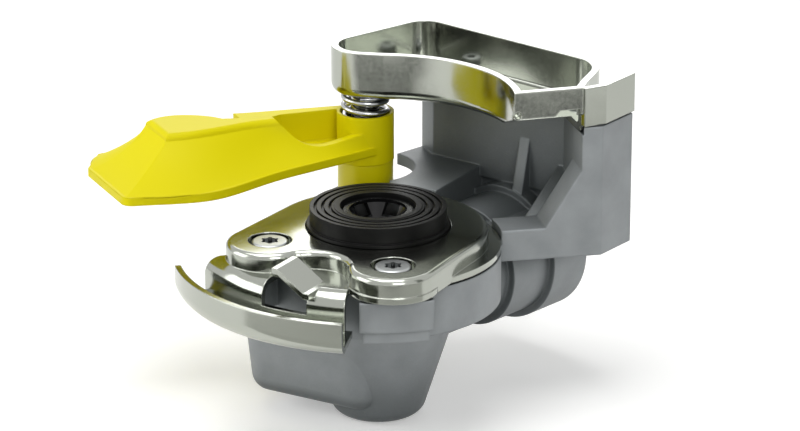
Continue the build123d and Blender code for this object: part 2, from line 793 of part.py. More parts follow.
# Die cast body
with BuildPart() as coupling_body:
    with BuildSketch(Plane.XY.offset(head_bottom)):
        Circle(head_radius)
    extrude(amount=body_top - head_bottom)
    with BuildSketch(Plane.XY.offset(block_bottom)):
        Circle(block_radius)
        with BuildLine():
            Polyline(
                wedge(
                    block_radius,
                    screw_half_angle - 90 - block_half_angle,
                    screw_half_angle - 90 + block_half_angle,
                )
            )
        make_face(mode=Mode.INTERSECT)
    extrude(amount=body_top - block_bottom)
    with BuildSketch(Plane.XY.offset(block_bottom)):
        Circle(left_block_radius)
        with BuildLine():
            Polyline(
                wedge(
                    left_block_radius,
                    -90 - screw_half_angle - block_half_angle,
                    -90 - screw_half_angle + block_half_angle,
                )
            )
        make_face(mode=Mode.INTERSECT)
    extrude(amount=body_top - block_bottom)
    with BuildSketch(Plane.XY.offset(ear_band_bottom)):
        Circle(block_radius - ear_band_step)
        with BuildLine():
            Polyline(
                wedge(
                    block_radius,
                    screw_half_angle - 90 - block_half_angle + ear_band_step,
                    screw_half_angle - 90 + block_half_angle - ear_band_step,
                )
            )
        make_face(mode=Mode.INTERSECT)
    extrude(amount=block_bottom - ear_band_bottom)
    # Tapered boss below the head
    with BuildSketch(Plane.XY.offset(block_bottom)):
        Circle(cone_top_radius)
    extrude(amount=cone_bottom - block_bottom, taper=cone_taper)
    fillet(coupling_body.edges().group_by(Axis.Z)[0], foot_round)
    add(body_lobe.part)
    # Side port barrel
    with BuildSketch(port_side):
        with BuildLine():
            Polyline(
                (0, 0),
                (0, port_neck_radius),
                (port_neck_end, port_neck_radius),
                (port_neck_end, port_groove_radius),
                (port_collar_start, port_groove_radius),
                (port_collar_start, port_collar_radius),
                (port_shoulder_start, port_collar_radius),
                (port_shoulder_start, port_shoulder_radius),
                (port_face - port_edge, port_shoulder_radius),
                (port_face, port_shoulder_radius - port_edge),
                (port_face, 0),
                close=True,
            )
        make_face()
    revolve(axis=Axis((0, 0, port_axis_z), port_direction))
    # Floor between the head and the claw wall
    with BuildSketch(Plane.XY.offset(platform_bottom)):
        with BuildLine():
            Polyline(
                (ledge_right - web_thickness, 0),
                (ledge_right - web_thickness, wall_inner_left[1]),
                wall_outer_right,
                cheek_end,
                cheek_start,
                (0, 0),
                close=True,
            )
        make_face()
    extrude(amount=platform_top - platform_bottom)
    # Claw wall and its end pillar
    with BuildSketch(Plane.XY.offset(ledge_top - ledge_thickness)):
        with BuildLine():
            Polyline(
                wall_inner_left,
                wall_end_left,
                wall_outer_left,
                wall_outer_right,
                wall_inner_right,
                close=True,
            )
        make_face()
    extrude(amount=tray_floor_z - ledge_top + ledge_thickness)
    with BuildSketch(Plane.XY.offset(platform_bottom)):
        with BuildLine():
            Polyline(
                (ledge_right - web_thickness, wall_inner_left[1]),
                wall_outer_left,
                pillar_back,
                flank_end,
                cheek_end,
                cheek_post,
                wall_inner_right,
                close=True,
            )
        make_face()
    extrude(amount=ledge_top - platform_bottom)
    with BuildSketch(Plane.XY.offset(ledge_top)):
        with BuildLine():
            Polyline(
                wall_inner_right,
                wall_outer_right,
                pillar_back,
                flank_end,
                cheek_end,
                cheek_post,
                close=True,
            )
        make_face()
    extrude(amount=cheek_top - ledge_top)
    # Cheek with its sloped shoulder
    with BuildSketch(cheek_plane):
        with BuildLine():
            Polyline(
                (0, platform_bottom),
                (cheek_length, platform_bottom),
                (cheek_length, cheek_top),
                (cheek_length - cheek_post_width, cheek_top),
                (cheek_length - cheek_post_width, cheek_slope_top),
                (cheek_foot_length, cheek_foot_top),
                (0, cheek_foot_top),
                close=True,
            )
        make_face()
    extrude(amount=-cheek_thickness)
    # Seat of the tray on the wall and the pillar
    with BuildSketch(Plane.XY.offset(tray_floor_z)):
        offset(tray_outline.sketch, amount=cover_play)
    extrude(amount=cheek_top - tray_floor_z, mode=Mode.SUBTRACT)
    with BuildSketch(Plane.XY.offset(body_top)):
        Circle(flange_radius + cover_play)
    extrude(amount=cheek_foot_top - body_top + tiny, mode=Mode.SUBTRACT)
    with BuildSketch(Plane.XY.offset(body_top)):
        with Locations(*screw_spots):
            Circle(boss_pad_radius)
    extrude(amount=pad_top - body_top)
    # Ledge and the web under its edge
    with BuildSketch(Plane.XY.offset(ledge_top - ledge_thickness)):
        with BuildLine():
            Polyline(
                ledge_tip,
                wall_end_left,
                wall_outer_left,
                (ledge_right, wall_outer_left.Y),
                (ledge_right, 0),
                ledge_tip,
            )
        make_face()
        Circle(crown_radius + ledge_gap, mode=Mode.SUBTRACT)
        with Locations(pivot):
            Circle(ledge_cut_radius, mode=Mode.SUBTRACT)
    extrude(amount=ledge_thickness)
    with BuildSketch(Plane.XY.offset(platform_bottom)):
        with Locations((ledge_right, wall_inner_left[1])):
            Rectangle(
                web_thickness,
                wall_inner_left[1] - flange_radius - ledge_gap,
                align=(Align.MAX, Align.MAX),
            )
    extrude(amount=ledge_top - platform_bottom)
    # Ribs in the pocket
    with BuildSketch(rib_plane):
        with BuildLine():
            Polyline(
                (-rib_run, platform_top),
                (-rib_run, port_crown),
                (0, rib_top),
                (wall_thickness / 2, rib_top),
                (wall_thickness / 2, platform_top),
                close=True,
            )
        make_face()
    extrude(amount=rib_thickness / 2, both=True)
    with BuildSketch(brace_plane):
        with BuildLine():
            Polyline(
                (-rib_thickness / 2, platform_top),
                (-rib_thickness / 2, brace_top),
                (0, brace_top),
                (brace_length, platform_top),
                close=True,
            )
        make_face()
    extrude(amount=rib_thickness / 2, both=True)
    # Arm that carries the pivot
    with BuildSketch(Plane.XY.offset(post_foot - arm_thickness)):
        with Locations(pivot):
            Circle(arm_radius)
        with BuildLine():
            Polyline(
                polar(pivot_reach, pivot_angle + arm_half_angle),
                polar(arm_root_reach, pivot_angle + arm_root_angle),
                polar(arm_root_reach, pivot_angle - arm_root_angle),
                polar(pivot_reach, pivot_angle - arm_half_angle),
                close=True,
            )
        make_face()
    extrude(amount=arm_thickness)
    # Valve chamber, bore and port passage
    with BuildSketch(Plane.XY.offset(foot_bottom - press_travel - foot_pocket_gap)):
        Circle(seal_foot_radius + foot_pocket_gap)
    extrude(amount=body_top - foot_bottom + press_travel + 2 * foot_pocket_gap, mode=Mode.SUBTRACT)
    with BuildSketch(Plane.XY.offset(chamber_bottom)):
        Circle(chamber_radius)
    extrude(amount=body_top - chamber_bottom, mode=Mode.SUBTRACT)
    with BuildSketch(Plane.XY.offset(seat_bottom)):
        Circle(seat_radius)
    extrude(amount=seat_height, mode=Mode.SUBTRACT)
    with BuildSketch(Plane.XY.offset(bore_bottom)):
        Circle(bore_radius)
    extrude(amount=seat_bottom - bore_bottom, mode=Mode.SUBTRACT)
    with BuildSketch(port_end):
        Circle(port_thread_minor_radius)
    extrude(amount=-port_thread_length, mode=Mode.SUBTRACT)
    with BuildSketch(port_end):
        Circle(port_passage_radius)
    extrude(amount=-port_face, mode=Mode.SUBTRACT)
    # Screw holes and the pivot hole
    with BuildSketch(Plane.XY.offset(pad_top)):
        with Locations(*screw_spots):
            Circle(screw_shank_radius + running_gap)
    extrude(amount=recess_floor - screw_length - pad_top - cover_play, mode=Mode.SUBTRACT)
    with BuildSketch(Plane.XY.offset(post_foot)):
        with Locations(pivot):
            Circle(pin_radius + running_gap)
    extrude(amount=-arm_thickness, mode=Mode.SUBTRACT)
    with BuildSketch(Plane.XY.offset(tray_floor_z)):
        with Locations(*tray_screw_spots):
            Circle(tray_screw_shank_radius + running_gap)
    extrude(amount=-tray_screw_length - cover_play, mode=Mode.SUBTRACT)
coupling_body.part.label = "coupling_body"
export_step(coupling_body.part, "parts/coupling_body.step")

# Flange of the tray over the cheek: its length, its outer face, and the section across it
flange_run = Vector(*tray_right_front) - Vector(*front_right)
flange_length = flange_run.length
flange_run = flange_run.normalized()
flange_out = Vector(flange_run.Y, -flange_run.X)
floor_end = Vector(*polar(tray_front_radius, tray_floor_angle))
floor_setback = (Vector(*front_right) - floor_end).dot(flange_out)
flange_face = Plane(origin=(*front_right, 0), x_dir=flange_run, z_dir=flange_out)
flange_section = Plane(origin=(*front_right, 0), x_dir=-flange_out, z_dir=flange_run)

# Deep drawn claw tray with the wing over the cheek
with BuildPart() as tray_hollow:
    with BuildSketch(Plane.XY.offset(tray_floor_z + tray_sheet)):
        offset(tray_outline.sketch, amount=-tray_sheet)
    extrude(amount=tray_top - tray_floor_z)
    fillet(tray_hollow.edges().group_by(Axis.Z)[0], tray_bend - tray_sheet)
with BuildPart() as claw_tray:
    with BuildSketch(Plane.XY.offset(tray_floor_z)):
        add(tray_outline.sketch)
    extrude(amount=tray_top - tray_floor_z)
    fillet(claw_tray.edges().group_by(Axis.Z)[0], tray_bend)
    add(tray_hollow.part, mode=Mode.SUBTRACT)
    # Free flange beside the arc, cut below a sloping line
    with BuildSketch(flange_section):
        with BuildLine():
            Polyline(
                (-tray_sheet, tray_floor_z - tray_sheet),
                (-tray_sheet, flange_lower_edge),
                (0, flange_lower_edge),
                (floor_setback, tray_floor_z),
                (floor_setback, tray_floor_z - tray_sheet),
                close=True,
            )
        make_face()
    extrude(amount=flange_length, mode=Mode.SUBTRACT)
    with BuildSketch(flange_face):
        with BuildLine():
            Polyline(
                (flange_notch[0], flange_lower_edge),
                (flange_notch[0] + flange_notch_slope, flange_notch_top),
                (flange_notch[1] - flange_notch_slope, flange_notch_top),
                (flange_notch[1], tray_floor_z),
                (flange_notch[0], tray_floor_z),
                close=True,
            )
        make_face()
        with Locations((relief_hole_radius, flange_lower_edge + relief_hole_radius)):
            Circle(relief_hole_radius)
    extrude(amount=tray_sheet, both=True, mode=Mode.SUBTRACT)
    with BuildSketch(Plane.XY.offset(cheek_top + wing_gap)):
        with BuildLine() as wing_line:
            Polyline(tray_right_front, wing_bend, wing_end)
        trace(line_width=tray_sheet)
    extrude(amount=tray_top - cheek_top - wing_gap)
    with BuildSketch(Plane.XY.offset(tray_floor_z)):
        with Locations(pivot):
            Circle(pin_radius + running_gap)
        with Locations(*tray_screw_spots):
            Circle(tray_screw_shank_radius + running_gap)
    extrude(amount=tray_sheet, mode=Mode.SUBTRACT)
claw_tray.part.label = "claw_tray"
export_step(claw_tray.part, "parts/claw_tray.step")

# Tray screws
with BuildPart() as tray_screws:
    with BuildSketch(Plane.XY.offset(tray_floor_z + tray_sheet)):
        with Locations(*tray_screw_spots):
            Circle(tray_screw_head_radius)
    extrude(amount=tray_screw_head_height)
    fillet(tray_screws.edges().group_by(Axis.Z)[-1], tray_screw_head_round)
    with BuildSketch(Plane.XY.offset(tray_floor_z + tray_sheet - tray_screw_length)):
        with Locations(*tray_screw_spots):
            Circle(tray_screw_shank_radius)
    extrude(amount=tray_screw_length)
    with BuildSketch(Plane.XY.offset(tray_floor_z + tray_sheet + tray_screw_head_height)):
        with Locations(*tray_screw_spots):
            RegularPolygon(tray_screw_socket, tray_screw_socket_sides)
    extrude(amount=-tray_screw_head_height / 2, mode=Mode.SUBTRACT)
tray_screws.part.label = "tray_screws"
export_step(tray_screws.part, "parts/tray_screws.step")

# Pivot post
with BuildPart() as pivot_post:
    with BuildSketch(Plane.XY.offset(post_foot)):
        with Locations(pivot):
            Circle(post_radius)
            Circle(pin_radius + running_gap, mode=Mode.SUBTRACT)
    extrude(amount=post_top - post_foot)
pivot_post.part.label = "pivot_post"
export_step(pivot_post.part, "parts/pivot_post.step")

# Pivot pin with its circlip groove
pin_top = tray_floor_z + tray_sheet
pin_end = post_foot - arm_thickness - pin_tail
circlip_top = post_foot - arm_thickness - running_gap
with BuildPart() as pivot_pin:
    with BuildSketch(Plane.XY.offset(pin_end)):
        with Locations(pivot):
            Circle(pin_radius)
    extrude(amount=pin_top - pin_end)
    chamfer(pivot_pin.edges().group_by(Axis.Z)[0], pin_chamfer)
    with BuildSketch(Plane.XY.offset(pin_top)):
        with Locations(pivot):
            Circle(pin_head_radius)
    extrude(amount=pin_head_height)
    fillet(pivot_pin.edges().group_by(Axis.Z)[-1], pin_head_round)
    with BuildSketch(Plane.XY.offset(circlip_top - circlip_thickness - running_gap)):
        with Locations(pivot):
            Circle(pin_radius)
            Circle(pin_groove_radius, mode=Mode.SUBTRACT)
    extrude(amount=circlip_thickness + running_gap, mode=Mode.SUBTRACT)
pivot_pin.part.label = "pivot_pin"
export_step(pivot_pin.part, "parts/pivot_pin.step")

# Circlip under the arm
with BuildPart() as pin_circlip:
    with BuildSketch(Plane.XY.offset(circlip_top - circlip_thickness)):
        with Locations(pivot):
            Circle(circlip_radius)
            Circle(pin_groove_radius + running_gap, mode=Mode.SUBTRACT)
        with Locations((pivot[0], pivot[1] + circlip_radius)):
            Rectangle(pin_groove_radius, 2 * circlip_radius - pin_groove_radius, mode=Mode.SUBTRACT)
    extrude(amount=circlip_thickness)
pin_circlip.part.label = "pin_circlip"
export_step(pin_circlip.part, "parts/pin_circlip.step")

# Plan plane of the lid in its open pose, with its own X along the lid
lid_plane = Plane(
    origin=(pivot[0], pivot[1], 0),
    x_dir=(cos(radians(lid_heading)), sin(radians(lid_heading)), 0),
    z_dir=(0, 0, 1),
)
bush_top = boss_top - counterbore_depth
bush_radius = pin_radius + running_gap + bush_wall

# Outline of the lid's paddle
with BuildSketch() as paddle_outline:
    with BuildLine():
        Line((0, boss_radius), lid_front_waist)
        Spline(
            lid_front_waist,
            lid_front_widest,
            (lid_length, lid_front_corner),
            tangents=[
                Vector(*lid_front_waist) - Vector(0, boss_radius),
                Vector(lid_length, lid_front_corner) - Vector(*lid_front_widest),
            ],
        )
        Polyline((lid_length, lid_front_corner), (lid_length, lid_back_corner), lid_back_shoulder)
        Spline(
            lid_back_shoulder,
            lid_back_widest,
            lid_back_waist,
            tangents=[
                Vector(*lid_back_widest) - Vector(*lid_back_shoulder),
                Vector(0, -boss_radius) - Vector(*lid_back_waist),
            ],
        )
        Line(lid_back_waist, (0, -boss_radius))
        Line((0, -boss_radius), (0, boss_radius))
    make_face()
    fillet(corner_at(paddle_outline, (lid_length, lid_front_corner)), lid_end_round)


dome_foot = [
    (pocket_bend, arm_bend_foot),
    (dome_start, dome_neck),
    lid_front_widest,
    (lid_length, lid_front_corner),
    (lid_length, lid_back_corner),
    lid_back_shoulder,
    lid_back_widest,
    (dome_start, -dome_neck),
]
dome_crest = [
    (pocket_bend, arm_bend_front),
    (crest_start, crest_front),
    (crest_middle, crest_front + crest_bow),
    (crest_end, crest_front),
    (crest_end, crest_back),
    ((crest_end + crest_back_widest[0]) / 2, crest_back_widest[1]),
    crest_back_widest,
    crest_back_start,
]
arm_foot = [
    (dome_start, arm_knee_foot),
    (pocket_bend, pocket_neck - web_wall),
    (0, boss_radius - web_wall),
    (0, boss_radius - rim_step),
]
arm_crest = [
    (crest_start, arm_knee_crest),
    (pocket_bend, arm_bend_crest),
    (0, arm_root_crest),
    (0, arm_front_crest),
]


def between(low, high, share):
    """Point at a share of the way from a low point to a high one."""
    return (low[0] + share * (high[0] - low[0]), low[1] + share * (high[1] - low[1]))


def dome_points(share, inset, start):
    """Corners of the lid's dome at a share of its height, drawn in by an inset."""
    step = inset + (1 - share) * rim_step + 4 * share * (1 - share) * dome_sag
    end = lid_length + share * (crest_end - lid_length) - step
    points = []
    for low, high in zip(dome_foot, dome_crest):
        x, y = between(low, high, share)
        points.append((min(max(x, start), end), y - copysign(step, y)))
    return points


def hollow_section(share):
    """Outline of the hollow under the dome at a share of its height."""
    points = dome_points(share, lid_wall, crest_start + lid_wall)[1:]
    with BuildSketch() as outline:
        with BuildLine():
            Spline(points[:3])
            Line(points[2], points[3])
            Spline(points[3:])
            Line(points[-1], points[0])
        make_face()
    return outline.sketch


def dome_section(share, inset):
    """Outline of the dome with the arm's front wall at a share of its height."""
    points = dome_points(share, inset, 0)
    arm = [between(low, high, share) for low, high in zip(arm_foot, arm_crest)]
    with BuildSketch() as outline:
        with BuildLine():
            Spline(arm[-1:] + points[:4])
            Line(points[3], points[4])
            Spline(points[4:])
            Polyline(points[-1:] + arm)
        make_face()
    return outline.sketch


# Hollow under the lid's dome
dome_height = lid_crown - lid_rim_top
with BuildPart() as lid_hollow:
    with BuildSketch(lid_plane.offset(boss_bottom)):
        add(hollow_section(0))
    extrude(amount=lid_rim_top - lid_wall / 2 - boss_bottom)
    for share in (0, 1 / 2, 1):
        level = lid_rim_top - lid_wall / 2 + share * (dome_height - lid_wall / 2)
        with BuildSketch(lid_plane.offset(level)):
            add(hollow_section(share))
    loft()

# Space above the sagging front wall of the arm
lid_side = Plane(
    origin=(pivot[0], pivot[1], 0),
    x_dir=(cos(radians(lid_heading)), sin(radians(lid_heading)), 0),
    z_dir=(sin(radians(lid_heading)), -cos(radians(lid_heading)), 0),
)
with BuildPart() as sag_cut:
    with BuildSketch(lid_side):
        with BuildLine():
            Spline(arm_sag)
            Polyline(
                arm_sag[-1],
                (arm_sag[-1][0], 2 * lid_crown),
                (-boss_radius, 2 * lid_crown),
                (-boss_radius, arm_sag[0][1]),
                arm_sag[0],
            )
        make_face()
    extrude(amount=lid_length / 2, both=True)

# Dome with its rounded crest, and the front wall that sags to the boss
with BuildPart() as lid_dome:
    for share in (0, 1 / 2, 1):
        with BuildSketch(lid_plane.offset(lid_rim_top + share * (dome_height - crest_round))):
            add(dome_section(share, 0))
    loft()
    for turn in (0, 30, 60, 90):
        level = lid_crown - crest_round + crest_round * sin(radians(turn))
        with BuildSketch(lid_plane.offset(level)):
            add(dome_section(1, crest_round - crest_round * cos(radians(turn))))
    loft()
    add(sag_cut.part, mode=Mode.SUBTRACT)

# Lid
with BuildPart() as lid:
    with BuildSketch(lid_plane.offset(lid_rim_bottom)):
        add(paddle_outline.sketch)
    extrude(amount=lid_rim_top - lid_rim_bottom)
    # Back wall of the arm
    with BuildSketch(lid_plane.offset(lid_rim_top)):
        add(paddle_outline.sketch)
        with Locations((0, -web_back_side)):
            Rectangle(
                crest_start,
                lid_length,
                align=(Align.MIN, Align.MAX),
                mode=Mode.INTERSECT,
            )
    extrude(amount=web_back_top - lid_rim_top)
    # Pocket between the boss and the dome
    with BuildSketch(lid_plane.offset(lid_rim_bottom + web_floor)):
        with BuildLine():
            Polyline(
                (0, boss_radius - web_wall),
                (pocket_bend, pocket_neck - web_wall),
                (pocket_end, pocket_end_front),
                (pocket_end, pocket_end_back),
                (pocket_bend, web_wall - pocket_neck),
                (0, web_wall - boss_radius),
                close=True,
            )
        make_face()
    extrude(amount=lid_crown - lid_rim_bottom, mode=Mode.SUBTRACT)
    with BuildSketch(lid_plane.offset(boss_bottom)):
        Circle(boss_radius)
    extrude(amount=boss_top - boss_bottom)
    add(lid_dome.part)
    add(lid_hollow.part, mode=Mode.SUBTRACT)
    # Spring pocket and bush bore
    with BuildSketch(lid_plane.offset(boss_top)):
        Circle(counterbore_radius)
    extrude(amount=-counterbore_depth, mode=Mode.SUBTRACT)
    with BuildSketch(lid_plane.offset(boss_bottom)):
        Circle(bush_radius + running_gap)
    extrude(amount=boss_top - boss_bottom, mode=Mode.SUBTRACT)
lid.part.label = "lid"
export_step(lid.part, "parts/lid.step")

# Bush in the lid boss
with BuildPart() as lid_bush:
    with BuildSketch(lid_plane.offset(boss_bottom)):
        Circle(bush_radius)
        Circle(pin_radius + running_gap, mode=Mode.SUBTRACT)
    extrude(amount=bush_top - boss_bottom)
lid_bush.part.label = "lid_bush"
export_step(lid_bush.part, "parts/lid_bush.step")

# Washer that the lid spring presses on
with BuildPart() as spring_washer:
    with BuildSketch(lid_plane.offset(bush_top)):
        Circle(counterbore_radius - spring_side_gap)
        Circle(pin_radius + running_gap, mode=Mode.SUBTRACT)
    extrude(amount=washer_thickness)
spring_washer.part.label = "spring_washer"
export_step(spring_washer.part, "parts/spring_washer.step")

# Lid spring between the washer and the tray
spring_radius = counterbore_radius - spring_side_gap - spring_wire_radius
with BuildPart() as lid_spring:
    with BuildLine() as lid_spring_path:
        coil(
            spring_radius,
            spring_wire_radius,
            bush_top + washer_thickness,
            tray_floor_z,
            spring_turns,
            pivot,
        )
    with BuildSketch(Plane(origin=lid_spring_path.line @ 0, z_dir=lid_spring_path.line % 0)):
        Circle(spring_wire_radius)
    sweep(is_frenet=True)
lid_spring.part.label = "lid_spring"
export_step(lid_spring.part, "parts/lid_spring.step")
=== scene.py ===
from math import cos, radians, sin

import bpy
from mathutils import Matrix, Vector


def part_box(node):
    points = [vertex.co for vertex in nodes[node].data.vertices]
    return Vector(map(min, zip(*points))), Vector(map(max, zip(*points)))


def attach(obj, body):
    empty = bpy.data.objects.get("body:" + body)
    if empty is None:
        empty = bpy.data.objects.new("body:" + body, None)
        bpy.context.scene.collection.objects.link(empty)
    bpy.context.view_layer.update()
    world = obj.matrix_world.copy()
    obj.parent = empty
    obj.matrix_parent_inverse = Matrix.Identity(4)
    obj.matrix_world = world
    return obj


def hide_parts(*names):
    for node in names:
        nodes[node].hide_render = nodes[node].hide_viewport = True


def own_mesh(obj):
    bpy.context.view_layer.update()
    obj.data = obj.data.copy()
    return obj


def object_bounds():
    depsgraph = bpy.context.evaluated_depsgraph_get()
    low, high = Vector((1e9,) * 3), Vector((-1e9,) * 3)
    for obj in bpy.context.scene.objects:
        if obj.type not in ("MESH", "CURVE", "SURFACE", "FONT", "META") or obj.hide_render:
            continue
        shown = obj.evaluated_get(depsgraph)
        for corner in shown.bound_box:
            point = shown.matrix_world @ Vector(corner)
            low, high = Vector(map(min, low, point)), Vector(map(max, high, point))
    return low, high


# Palm coupling head of a trailer air line: cast body, plated sheet, moulded lid.

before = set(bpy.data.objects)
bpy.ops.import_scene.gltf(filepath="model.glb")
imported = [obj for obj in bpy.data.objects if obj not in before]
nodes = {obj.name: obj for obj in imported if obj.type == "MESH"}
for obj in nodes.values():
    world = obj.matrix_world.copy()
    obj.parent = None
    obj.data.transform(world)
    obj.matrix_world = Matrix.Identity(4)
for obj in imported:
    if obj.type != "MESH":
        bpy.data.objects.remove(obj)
cad_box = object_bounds()
scene = bpy.context.scene
MM = 0.001

# Side port of the cast body
port_heading = radians(78)
port_level = -26 * MM
port_face = 63.4 * MM
thread_start = 48.8 * MM
thread_reach = 10.4 * MM
thread_pitch = 1.5 * MM


def ink(code):
    """Linear colour of an sRGB hex value."""
    parts = [int(code[i : i + 2], 16) / 255 for i in (1, 3, 5)]
    return [p / 12.92 if p <= 0.04045 else ((p + 0.055) / 1.055) ** 2.4 for p in parts] + [1.0]


def add_node(tree, kind, settings=None, links=None):
    """One node of a tree, with its settings and the sockets that feed it."""
    made = tree.nodes.new(kind)
    for name, value in (settings or {}).items():
        if isinstance(name, int) or name in made.inputs:
            made.inputs[name].default_value = value
        else:
            setattr(made, name, value)
    for name, source in (links or {}).items():
        tree.links.new(source, made.inputs[name])
    return made


# Finishes


def new_finish(name, **sockets):
    """A material with one Principled shader, and the Object coordinates for its patterns."""
    material = bpy.data.materials.new(name)
    material.use_nodes = True
    tree = material.node_tree
    shader = tree.nodes["Principled BSDF"]
    for socket, value in sockets.items():
        shader.inputs[socket.replace("_", " ")].default_value = value
    place = add_node(tree, "ShaderNodeTexCoord").outputs["Object"]
    return material, tree, shader, place


def per_mm(size):
    """Noise scale that gives features of about this size in millimetres."""
    return 1 / (size * MM)


def feed(tree, shader, **patterns):
    """Patterns led to the shader's sockets."""
    for socket, pattern in patterns.items():
        tree.links.new(pattern, shader.inputs[socket.replace("_", " ")])


def mottled(tree, place, patch_mm, detail, dark, light, ends):
    """Colour that drifts between two tones in patches of about this size."""
    patches = add_node(
        tree,
        "ShaderNodeTexNoise",
        {"Scale": per_mm(patch_mm), "Detail": detail},
        {"Vector": place},
    )
    tones = add_node(tree, "ShaderNodeValToRGB", links={"Fac": patches.outputs["Fac"]})
    for element, position, tone in zip(tones.color_ramp.elements, ends, (dark, light)):
        element.position = position
        element.color = ink(tone)
    return tones.outputs["Color"]


def uneven(tree, place, patch_mm, detail, least, most):
    """Roughness that drifts between two values in patches of about this size."""
    patches = add_node(
        tree,
        "ShaderNodeTexNoise",
        {"Scale": per_mm(patch_mm), "Detail": detail},
        {"Vector": place},
    )
    drift = add_node(
        tree,
        "ShaderNodeMapRange",
        {"To Min": least, "To Max": most},
        {"Value": patches.outputs["Fac"]},
    )
    return drift.outputs["Result"]


def relief(tree, place, grain_mm, detail, strength, depth_mm, edge_mm=None):
    """Normal of a fine grain, on edges that are worn round by this radius where it is given."""
    grain = add_node(
        tree,
        "ShaderNodeTexNoise",
        {"Scale": per_mm(grain_mm), "Detail": detail},
        {"Vector": place},
    )
    links = {"Height": grain.outputs["Fac"]}
    if edge_mm:
        worn = add_node(tree, "ShaderNodeBevel", {"samples": 6, "Radius": edge_mm * MM})
        links["Normal"] = worn.outputs["Normal"]
    bump = add_node(
        tree, "ShaderNodeBump", {"Strength": strength, "Distance": depth_mm * MM}, links
    )
    return bump.outputs["Normal"]


def crevice_shade(tree, dark, reach_mm, plain=None, pattern=None):
    """A plain colour or a pattern with painted shade: darkened where the surface is shut in within
    this reach.
    """
    sky = add_node(
        tree, "ShaderNodeAmbientOcclusion", {"samples": 8, "Distance": reach_mm * MM}
    )
    openness = add_node(
        tree,
        "ShaderNodeMapRange",
        {"From Min": 0.35, "From Max": 0.85},
        {"Value": sky.outputs["AO"]},
    )
    settings = {"data_type": "RGBA", 6: ink(dark)}
    links = {0: openness.outputs["Result"]}
    if pattern:
        links[7] = pattern
    else:
        settings[7] = ink(plain)
    return add_node(tree, "ShaderNodeMix", settings, links).outputs[2]


def round_the_port(tree, place):
    """Distance along the port's axis and away from it."""
    axis = (cos(port_heading), sin(port_heading), 0)
    spot = add_node(
        tree, "ShaderNodeVectorMath", {"operation": "SUBTRACT", 1: (0, 0, port_level)}, {0: place}
    ).outputs["Vector"]
    along = add_node(
        tree, "ShaderNodeVectorMath", {"operation": "DOT_PRODUCT", 1: axis}, {0: spot}
    )
    across = add_node(
        tree, "ShaderNodeVectorMath", {"operation": "CROSS_PRODUCT", 1: axis}, {0: spot}
    )
    away = add_node(
        tree, "ShaderNodeVectorMath", {"operation": "LENGTH"}, {0: across.outputs["Vector"]}
    )
    return along.outputs["Value"], away.outputs["Value"]


def die_cast_aluminium():
    """Shot blasted die cast aluminium: a matt, faintly pebbled grey skin with soft highlights,
    painted shade in its hollows, and bare turned metal on the port's face and in its thread."""
    material, tree, shader, place = new_finish(
        "die_cast_aluminium", Metallic=0.5, Roughness=0.5
    )
    skin = mottled(tree, place, 9, 3.0, "#868a8c", "#95999b", (0.3, 0.7))
    # Painted shade: the skin is darkened towards #5a5f60 where it is shut in within 30 mm, as
    # under the tray.
    shaded_skin = crevice_shade(tree, "#5a5f60", 30, pattern=skin)

    along, away = round_the_port(tree, place)
    turned = add_node(
        tree, "ShaderNodeMath", {"operation": "GREATER_THAN", 1: port_face}, {0: along}
    )
    inside = add_node(
        tree, "ShaderNodeMath", {"operation": "LESS_THAN", 1: thread_reach}, {0: away}
    )
    deep = add_node(
        tree, "ShaderNodeMath", {"operation": "GREATER_THAN", 1: thread_start}, {0: along}
    )
    threaded = add_node(
        tree,
        "ShaderNodeMath",
        {"operation": "MULTIPLY"},
        {0: inside.outputs[0], 1: deep.outputs[0]},
    )
    bare = add_node(
        tree,
        "ShaderNodeMath",
        {"operation": "MAXIMUM"},
        {0: turned.outputs[0], 1: threaded.outputs[0]},
    )
    tone = add_node(
        tree,
        "ShaderNodeMix",
        {"data_type": "RGBA", 7: ink("#b4b7b8")},
        {0: bare.outputs[0], 6: shaded_skin},
    )
    gloss = add_node(
        tree,
        "ShaderNodeMix",
        {"data_type": "FLOAT", 3: 0.3},
        {0: bare.outputs[0], 2: uneven(tree, place, 9, 3.0, 0.42, 0.58)},
    )

    # The blasted grain is about 0.2 mm, drawn at 0.5 mm so that it shows.
    pebbles = relief(tree, place, 0.5, 2.0, 0.3, 0.12, edge_mm=0.9)
    flank = add_node(
        tree, "ShaderNodeMath", {"operation": "PINGPONG", 1: thread_pitch / 2}, {0: along}
    )
    ridge = add_node(
        tree,
        "ShaderNodeMath",
        {"operation": "MULTIPLY"},
        {0: flank.outputs[0], 1: threaded.outputs[0]},
    )
    thread = add_node(
        tree,
        "ShaderNodeBump",
        {"Strength": 1.0, "Distance": 1.0},
        {"Height": ridge.outputs[0], "Normal": pebbles},
    )
    feed(
        tree,
        shader,
        Base_Color=tone.outputs[2],
        Roughness=gloss.outputs[0],
        Normal=thread.outputs["Normal"],
    )
    return material


def bright_plated_sheet():
    """Deep drawn steel sheet, bright nickel plated: a mirror with faint waves from the draw."""
    material, tree, shader, place = new_finish(
        "bright_plated_sheet", Base_Color=ink("#a5a8a0"), Metallic=1.0, Roughness=0.12
    )
    feed(
        tree,
        shader,
        Normal=relief(tree, place, 14, 1.0, 0.25, 0.6, edge_mm=0.4),
        Roughness=uneven(tree, place, 0.9, 2.0, 0.1, 0.2),
    )
    return material


def moulded_yellow_nylon():
    """Injection moulded nylon, dyed yellow: satin, with a fine spark eroded grain."""
    material, tree, shader, place = new_finish(
        "moulded_yellow_nylon",
        Base_Color=ink("#d9cd00"),
        Roughness=0.45,
        IOR=1.53,
        Specular_IOR_Level=0.1,
    )
    # Spark eroded grain is about 0.05 mm, drawn at 0.3 mm so that it shows.
    feed(tree, shader, Normal=relief(tree, place, 0.3, 2.0, 0.08, 0.08, edge_mm=0.6))
    return material


